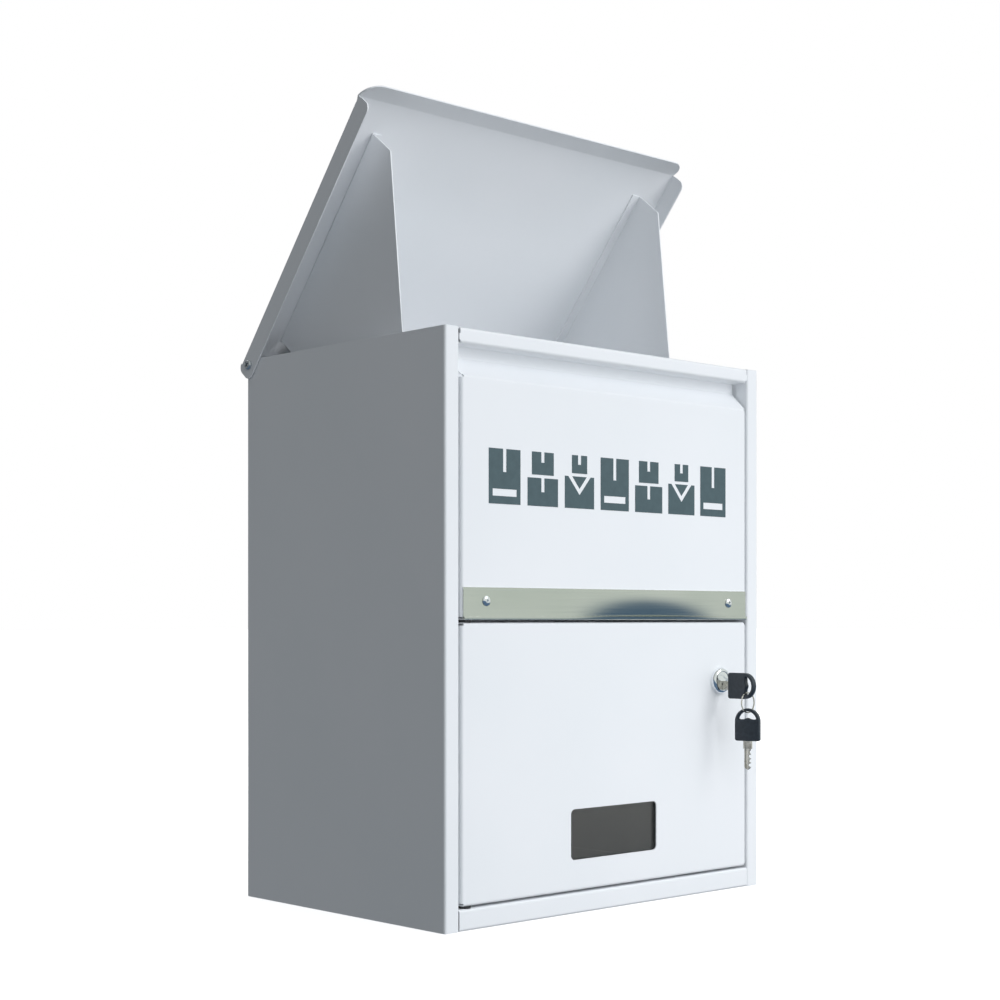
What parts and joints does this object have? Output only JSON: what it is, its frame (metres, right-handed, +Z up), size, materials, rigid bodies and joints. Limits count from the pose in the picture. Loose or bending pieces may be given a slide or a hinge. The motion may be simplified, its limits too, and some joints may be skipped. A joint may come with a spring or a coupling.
{
  "type": "parcel drop box",
  "caption": "Steel parcel drop box: hinged lid with hopper, finger recess, drip strip, windowed collection door, cam lock and keys.",
  "frame": {"origin": "middle of the body's base, level with the underside of the floor panel", "axes": "+Z up, the front with the door faces -Y, +X is to the right of someone facing the front"},
  "size_m": [0.3728, 0.3007, 0.6464],
  "materials": {
    "painted_steel": "white powder coat, fine orange peel, semi-gloss",
    "stainless_strip": "fine lengthwise brushing",
    "zinc_plate": "bright zinc plate",
    "vinyl": "satin cut vinyl, dark slate teal",
    "nylon": "natural nylon",
    "foam": "black closed-cell foam",
    "clear_acrylic": "clear, polished",
    "polished_chrome": "mirror polished",
    "key_steel": "nickel plate, lightly worn",
    "key_plastic": "fine moulded grain, near black"
  },
  "bodies": {
    "root": {"left_side_panel": "painted_steel", "right_side_panel": "painted_steel", "back_panel": "painted_steel", "floor_panel": "painted_steel", "top_rail": "painted_steel", "upper_front_panel": "painted_steel", "drip_strip": "stainless_strip", "strip_rivets": "zinc_plate", "pictogram_decal": "vinyl", "lid_pivot_screws": "zinc_plate", "lid_pivot_washers": "nylon", "lid_pivot_nuts": "zinc_plate", "door_hinge_pins": "zinc_plate", "door_hinge_washers": "nylon"},
    "lid": {"lid_panel": "painted_steel", "hopper_left_wing": "painted_steel", "hopper_right_wing": "painted_steel", "hopper_plate": "painted_steel", "hopper_rivets": "zinc_plate"},
    "door": {"door_panel": "painted_steel", "window_gasket": "foam", "window_pane": "clear_acrylic", "lock_body": "polished_chrome", "lock_washer": "zinc_plate", "lock_nut": "polished_chrome"},
    "lock": {"lock_plug": "polished_chrome", "lock_cam": "zinc_plate", "cam_screw": "zinc_plate"},
    "key": {"key_blade": "key_steel", "key_head": "key_plastic"},
    "ring": {"key_ring": "key_steel"},
    "spare_key": {"spare_key_blade": "key_steel", "spare_key_head": "key_plastic"}
  },
  "joints": [
    {"name": "lid_hinge", "type": "hinge", "parent": "root", "child": "lid", "pos_m": [0, 0.1206, 0.4453], "axis": [-1, 0, 0], "range_deg": [-51.2, 4.8]},
    {"name": "door_hinge", "type": "hinge", "parent": "root", "child": "door", "pos_m": [-0.158, -0.1205, 0.124], "axis": [0, 0, -1], "range_deg": [0, 115]},
    {"name": "lock_turn", "type": "hinge", "parent": "door", "child": "lock", "pos_m": [0.1305, -0.126, 0.18], "axis": [0, -1, 0], "range_deg": [0, 90]},
    {"name": "key_pull", "type": "slide", "parent": "lock", "child": "key", "axis": [0, -1, 0], "range_m": [0, 0.03]},
    {"name": "ring_hang", "type": "hinge", "parent": "key", "child": "ring", "pos_m": [0.1305, -0.1569, 0.16688], "axis": [0, -1, 0], "range_deg": [-90, 0]},
    {"name": "spare_key_swing", "type": "hinge", "parent": "ring", "child": "spare_key", "pos_m": [0.1305, -0.1569, 0.15366], "axis": [1, 0, 0], "range_deg": [-30, 30]}
  ],
  "couplings": [
    {"joint": "ring_hang", "follows": "lock_turn", "ratio": -1}
  ]
}
